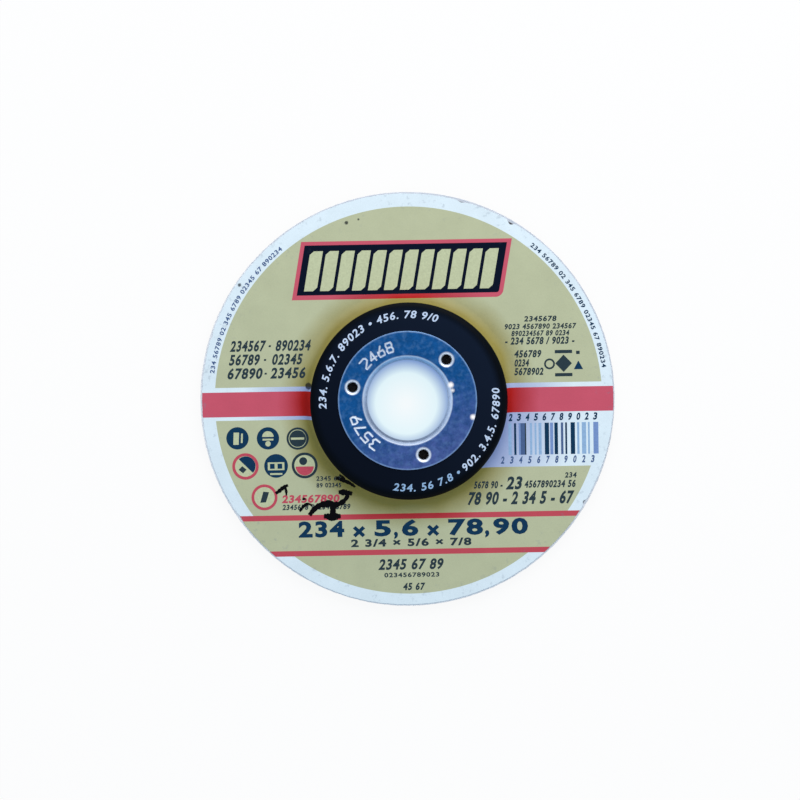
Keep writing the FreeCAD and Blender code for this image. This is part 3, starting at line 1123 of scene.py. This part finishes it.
def steelFinish():
    f = Finish("steelFinish")
    c = steel
    bright = f.node("Attribute", {"attribute_name": "bright"}, output="Fac")
    radius = f.away()
    cloud, speckle, patch = (f.noise(*c[name]) for name in ("cloud", "speckle", "patch"))
    # Painted reflection: blue, going violet towards the lower right
    side = over(f.x * 0.45 - f.y + (cloud - 0.5) * c["violetSway"], *c["violetFrom"])
    f.base = f.mix(side, c["blue"], c["violet"])
    f.base = f.tint(f.base, 0.3 + speckle * 0.6 + cloud * 0.7)
    f.paint(over(patch, *c["paleFrom"]) * c["paleShare"], c["pale"])
    # Painted highlight along the flange's rounded outer edge
    edge = over(radius, flangeRadius - c["edgeBand"], 0.3) * (0.2 + patch * 0.75)
    f.paint(edge.math("MINIMUM", 1), c["edge"])
    # Painted highlight, patchy, on the bends, the bore's wall and the stamps, from the points' brightness
    paintedHighlight = (bright * (0.6 + patch * 0.8)).math("MINIMUM", 1)
    f.paint(paintedHighlight, f.tint(c["bright"], 0.8 + speckle * 0.4))

    # Lip of the bore: painted shade on its upper side and painted light below it, dimmed towards the bottom
    # left, with a thin dark line of painted shade where it turns down
    lipTone = f.mix(over(-f.y, *c["lipLitFrom"]), c["lipShade"], c["lip"])
    dim = over(-f.y - f.x * 0.36, *c["lipDimFrom"]) * c["lipDim"]
    lipTone = f.tint(lipTone, (0.8 + patch * 0.4) * (1 - dim))
    f.paint(1 - over(radius, boreFlat - c["lipBand"], 0.5), lipTone)
    f.paint((1 - over(radius, boreRadius + c["lipLineAt"], 0.15)) * c["lipLineShare"], c["lipLine"])
    # Painted glints on the lip and the flange's edge
    for x, y, size in c["glints"]:
        f.paint(1 - over(f.away(x, y) + speckle * 0.3, size, 0.8), plainWhite)

    # Painted shade inside the anchors, down from the bend
    onAnchors = over(radius, boreFlat + sheet["innerStrip"])
    f.paint(onAnchors * (1 - over(f.z, flangeSeat - c["darkTo"], 0.4)), c["dark"])
    f.set(Base_Color=f.base, Roughness=0.36 + speckle * 0.16, Metallic=1.0)
    f.bump(speckle + patch * 1.5, 0.012, 0.5)
    return f.material


def makeRing():
    rows, rings = 40, 8
    edge, under = sheet["edgeRound"], sheet["underRound"]
    topBand, underBand = ((boreFlat, flangeRadius - inset, rows) for inset in (edge, under))
    neck, bend = boreRadius + sheet["thickness"], flangeSeat - sheet["boreBend"]
    bendR, bendZ = arcLine((boreFlat, bend), sheet["boreBend"] + sheet["thickness"], 180, 90, 12)
    edgeR, edgeZ = arcLine((flangeRadius - edge, flangeTop - edge), edge, 90, 0, 4)
    footR, footZ = arcLine((flangeRadius - under, flangeSeat + under), under, 0, -90, 3)
    underR, underZ = arcLine((boreFlat, bend), sheet["boreBend"], 90, 180, 6)
    lipR = [neck, neck - under, boreRadius + under, boreRadius]
    lipZ = [recessFloor + under, recessFloor, recessFloor, recessFloor + under]
    wallZ = np.linspace(recessFloor + under, bend, 4)[:-1]
    # brightness of the bore's wall and bend, read as painted highlight
    boreGlow = [0.9, 0.9, 1, *np.linspace(1, 0.95, 10), 0.2, 0, 0]
    parts = [
        turned([*[boreRadius] * 3, *bendR], [*wallZ, *bendZ], bright=boreGlow),
        *holedBand(topBand, anchorFlat, flangeTop, rings, relief=stampRelief),
        turned([*edgeR, *footR], [*edgeZ, *footZ]),
        *holedBand(underBand, anchorFlat, flangeSeat, rings, below=True),
        turned([*underR, *lipR], [*underZ, *lipZ], bright=[0, *[0.3] * 10]),
    ]

    # Anchors: inside and top of the bend, underside and outside, and the foot between them
    foot, bend = flangeTop - sheet["anchorDepth"], flangeSeat - sheet["anchorBend"]
    hole, neck = sheet["anchorRadius"], sheet["anchorRadius"] + sheet["thickness"]
    topR, topZ = arcLine((anchorFlat, bend), sheet["anchorBend"] + sheet["thickness"], 180, 90, 8)
    lowR, lowZ = arcLine((anchorFlat, bend), sheet["anchorBend"], 90, 180, 5)
    # brightness of the anchors' bends, read as painted highlight
    glow = [0.2, 0.4, 0.8, 0.9, 1, 1, 1, 0.95, 0.7, 0.3, 0]
    parts += atAnchors([hole, hole, *topR], [foot, (foot + bend) / 2, *topZ], topBand, glow)
    parts += atAnchors([*lowR, neck], [*lowZ, foot], underBand, 0.2)
    for index in range(anchors["count"]):
        bearings = np.stack([sectorLoop(index, *band)[1] for band in (underBand, topBand)])
        parts.append(turned([neck, hole], [foot, foot], bearings, anchorCentre(index)))
    points, faces, bright = weld(parts)
    makePiece("boreRing", points, faces, steelFinish(), "ring_steel", "bore_ring", glow=bright)


# Floor, light and camera

studio = {
    "floorSize": 0.6,  # metres, and so are the lamps' sizes and places
    "floorColour": (0.93, 0.94, 0.95, 1.0),
    "floorGlow": 0.92,  # share of plain white that the camera sees in the floor, over its lit colour
    "boreMiddle": colour(247, 253, 255),  # that white in the bore, with painted shadow: its middle, round it, and by the wall
    "boreTint": colour(229, 249, 255),
    "boreShade": colour(116, 150, 210),
    "boreLight": (-0.4, -1.1),  # the painted shadow is darkest on the side away from here, in millimetres
    "tintFrom": (5.0, 8.0),
    "shadeBand": (0.7, 3.8),
    "glowBand": 2.0,  # past the bore's wall
    "skyColour": (0.72, 0.9, 1.09, 1.0),
    "skyLight": 0.525,
    "lamps": [((0.15, 0.64, 0.39), 0.85, 7.05, (1.0, 0.9, 0.84))],  # place, size, watts, colour
}
shot = {
    "lens": 72.5,
    "sensor": 36.0,
    "nearest": 0.01,
    "distance": 446.6,  # from the label's flat, in millimetres
    "tilt": math.radians(2.3),
    "roll": math.radians(-1.0),
    "imageSize": 800,
    "discAt": (407.5, 399.9),  # the disc's middle in the picture, in pixels
}


def makeStage():
    mesh = bpy.data.meshes.new("floor")
    half = studio["floorSize"]
    corners = [(-half, -half, 0), (half, -half, 0), (half, half, 0), (-half, half, 0)]
    mesh.from_pydata(corners, [], [(0, 1, 2, 3)])
    f = Finish("floorFinish")
    f.set(Base_Color=studio["floorColour"], Roughness=0.8, Specular_IOR_Level=0.1)
    # Painted shadow in the bore: white in the middle, pale blue round it and a darker blue by the wall,
    # darkest away from the light
    reach = f.away(*studio["boreLight"])
    inBore = f.mix(over(reach, *studio["tintFrom"]), studio["boreMiddle"], studio["boreTint"])
    band, soft = studio["shadeBand"]
    inBore = f.mix(over(reach, boreRadius - band, soft), inBore, studio["boreShade"])
    seen = f.mix(over(f.away(), boreRadius + studio["glowBand"]), inBore, plainWhite)
    glow = f.node("Emission", {}, seen, 1.0)
    f.show("Material Output", Value(f, f.shader.outputs[0]), glow, studio["floorGlow"])
    mesh.materials.append(f.material)
    floor = bpy.data.objects.new("floor", mesh)
    bpy.context.scene.collection.objects.link(floor)


def makeLights():
    world = bpy.data.worlds.new("sky")
    bpy.context.scene.world = world
    sky = Nodes(world)
    background = sky.tree.nodes["Background"]
    sky.feed(background.inputs["Color"], studio["skyColour"])
    sky.feed(background.inputs["Strength"], studio["skyLight"])
    white = sky.node("Background", {}, plainWhite)
    sky.show("World Output", Value(sky, background.outputs[0]), white)
    for index, (place, size, watts, tone) in enumerate(studio["lamps"]):
        lamp = bpy.data.lights.new(f"lamp{index}", "AREA")
        lamp.size, lamp.energy, lamp.color = size, watts, tone
        holder = bpy.data.objects.new(f"lamp{index}", lamp)
        holder.location = place
        holder.rotation_mode = "QUATERNION"
        holder.rotation_quaternion = Vector(place).to_track_quat("Z", "Y")
        bpy.context.scene.collection.objects.link(holder)


def makeCamera():
    lens = bpy.data.cameras.new("camera")
    lens.lens, lens.sensor_width, lens.clip_start = shot["lens"], shot["sensor"], shot["nearest"]
    middle = shot["imageSize"] / 2
    lens.shift_x = (middle - shot["discAt"][0]) / shot["imageSize"]
    lens.shift_y = (shot["discAt"][1] - middle) / shot["imageSize"]
    camera = bpy.data.objects.new("camera", lens)
    aim = Matrix.Translation((0, 0, labelMarks["low"] * mm)) @ Matrix.Rotation(-shot["tilt"], 4, "X")
    back = Matrix.Translation((0, 0, shot["distance"] * mm))
    camera.matrix_world = aim @ back @ Matrix.Rotation(shot["roll"], 4, "Z")
    bpy.context.scene.collection.objects.link(camera)
    bpy.context.scene.camera = camera
    bpy.context.scene.view_settings.view_transform = "Standard"


makeCamera()
makeStage()
makeLights()
print("stage, lights and camera")
makeBody()
makeLabel()
printAll()
makeRing()
